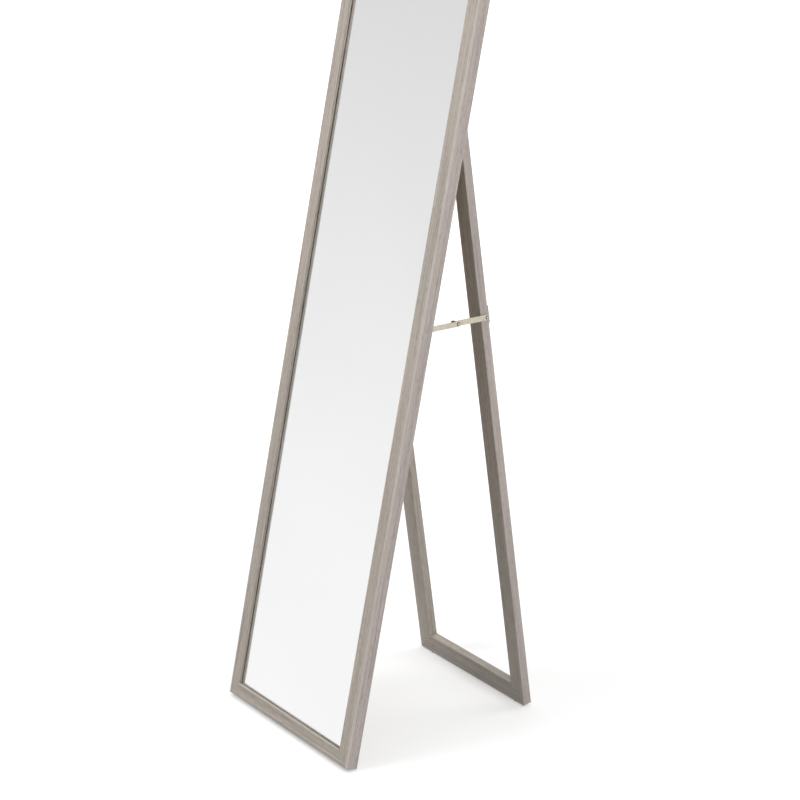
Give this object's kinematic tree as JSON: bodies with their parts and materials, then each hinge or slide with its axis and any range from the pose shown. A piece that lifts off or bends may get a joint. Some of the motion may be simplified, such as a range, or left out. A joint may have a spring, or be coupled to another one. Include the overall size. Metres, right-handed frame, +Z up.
{
  "type": "floor mirror",
  "caption": "Tall narrow floor mirror in a light grey-brown wood-grain moulding, leaning on a hinged rear frame that a folding metal stay holds open.",
  "frame": {"origin": "on the floor, in the middle of the width, midway between the foremost and the rearmost point with the stand open", "axes": "+X to the right of a viewer who faces the glass, +Y from the glass towards the rear stand, +Z up"},
  "size_m": [0.37, 0.4148, 1.544],
  "materials": {
    "foil_wood": "wood-grain foil over moulded wood, matt, light grey-brown",
    "mirror_glass": "clear float glass silvered on its back",
    "hardboard": "plain pressed board, matt",
    "batten_wood": "planed softwood, bare",
    "stay_plating": "pale yellow passivated plating over pressed steel, satin",
    "zinc_steel": "bright zinc plate over steel",
    "foot_rubber": "soft grey rubber, matt"
  },
  "bodies": {
    "mirror": {"backing_board": "hardboard", "frame_bottom_rail": "foil_wood", "frame_corner_nails": "zinc_steel", "frame_foot_left": "foot_rubber", "frame_foot_right": "foot_rubber", "frame_leaf_screws": "zinc_steel", "frame_left_stile": "foil_wood", "frame_right_stile": "foil_wood", "frame_top_rail": "foil_wood", "glazing_points": "zinc_steel", "hinge_leaf_frame_left": "zinc_steel", "hinge_leaf_frame_right": "zinc_steel", "hinge_pin_left": "zinc_steel", "hinge_pin_right": "zinc_steel", "hinge_rail": "batten_wood", "hinge_rail_nails": "zinc_steel", "mirror_pane": "mirror_glass", "setting_blocks": "foot_rubber", "stay_bracket_frame": "stay_plating", "stay_bracket_frame_screws": "zinc_steel", "stay_front_rivet": "stay_plating"},
    "stand": {"hinge_leaf_stand_left": "zinc_steel", "hinge_leaf_stand_right": "zinc_steel", "stand_bottom_rail": "foil_wood", "stand_corner_nails": "zinc_steel", "stand_foot_left": "foot_rubber", "stand_foot_right": "foot_rubber", "stand_leaf_screws": "zinc_steel", "stand_left_stile": "foil_wood", "stand_right_stile": "foil_wood", "stand_top_rail": "foil_wood", "stay_bracket_stand": "stay_plating", "stay_bracket_stand_screws": "zinc_steel", "stay_rear_rivet": "stay_plating"},
    "front_link": {"stay_front_link": "stay_plating", "knee_washer": "stay_plating", "knee_rivet": "stay_plating"},
    "rear_link": {"stay_rear_link": "stay_plating", "knee_rivet_tail": "stay_plating"}
  },
  "joints": [
    {"name": "stand_fold", "type": "hinge", "parent": "mirror", "child": "stand", "pos_m": [0, 0.0418, 1.08365], "axis": [-1, 0, 0], "range_deg": [0, 19.67]},
    {"name": "front_link_turn", "type": "hinge", "parent": "mirror", "child": "front_link", "pos_m": [0, -0.02311, 0.74172], "axis": [1, 0, 0], "range_deg": [0, 77.65]},
    {"name": "rear_link_turn", "type": "hinge", "parent": "stand", "child": "rear_link", "pos_m": [0, 0.09874, 0.74024], "axis": [-1, 0, 0], "range_deg": [0, 79.86]}
  ],
  "couplings": [
    {"joint": "front_link_turn", "follows": "stand_fold", "ratio": 3.9474},
    {"joint": "rear_link_turn", "follows": "stand_fold", "ratio": 4.0601}
  ]
}
